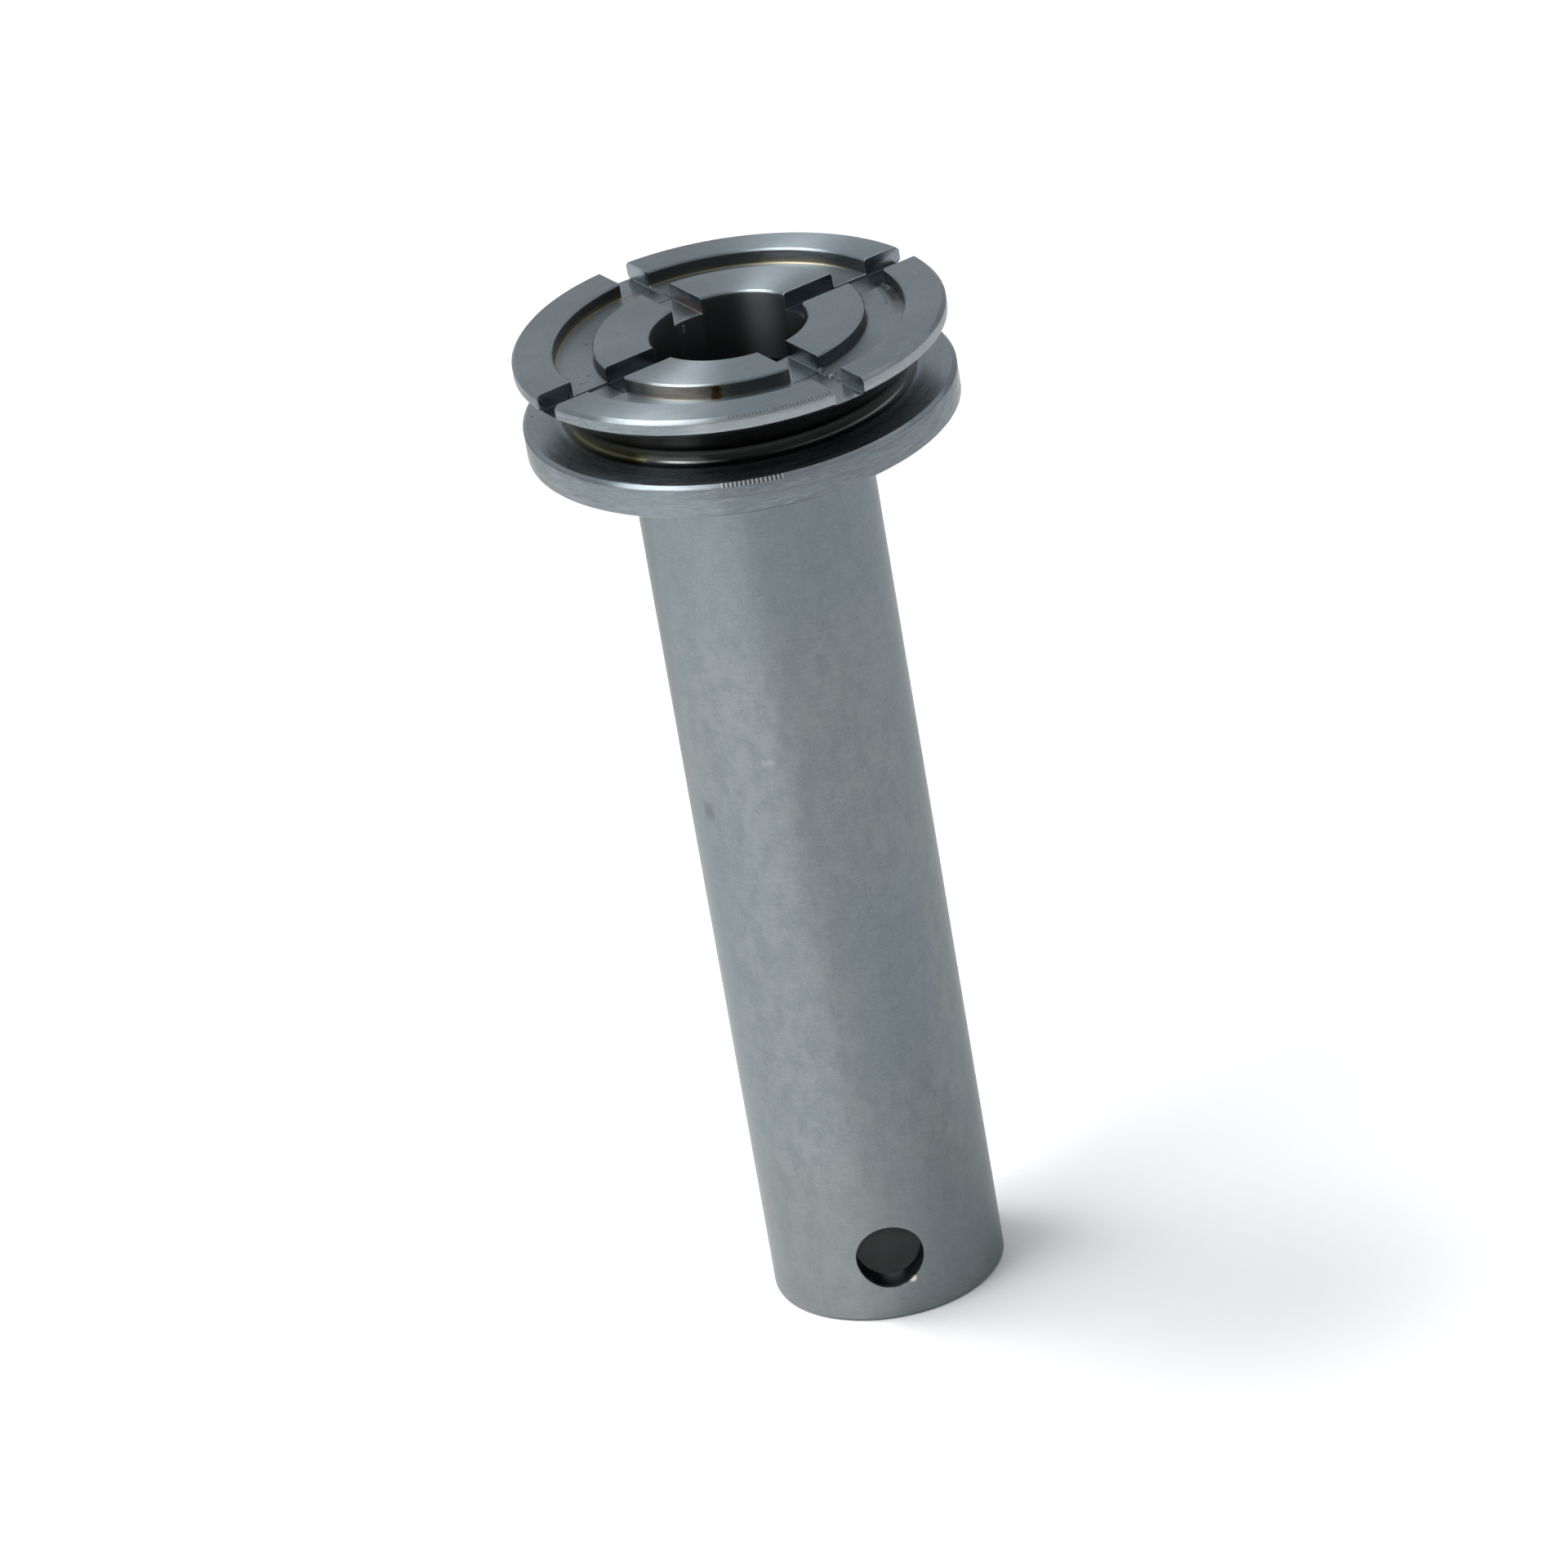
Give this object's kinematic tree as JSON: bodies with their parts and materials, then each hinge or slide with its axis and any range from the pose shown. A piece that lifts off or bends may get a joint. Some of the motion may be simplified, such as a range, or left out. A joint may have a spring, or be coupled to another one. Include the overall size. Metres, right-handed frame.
{
  "type": "flanged spindle sleeve",
  "caption": "Ground steel sleeve with a bored stem, a cross-hole near its foot and a turned head with two flanges, a neck groove and a slotted face.",
  "frame": {"origin": "centre of the foot of the stem, on the axis of the bores", "axes": "+Z along the bore axis from the foot to the face of the head; the cross-hole runs along Y"},
  "size_m": [0.0908, 0.0908, 0.2245],
  "materials": {
    "ground_steel": "ground, satin",
    "turned_steel": "fine turned, bright"
  },
  "bodies": {
    "root": {"stem_tube": "ground_steel", "flanged_head": "turned_steel"}
  },
  "joints": []
}
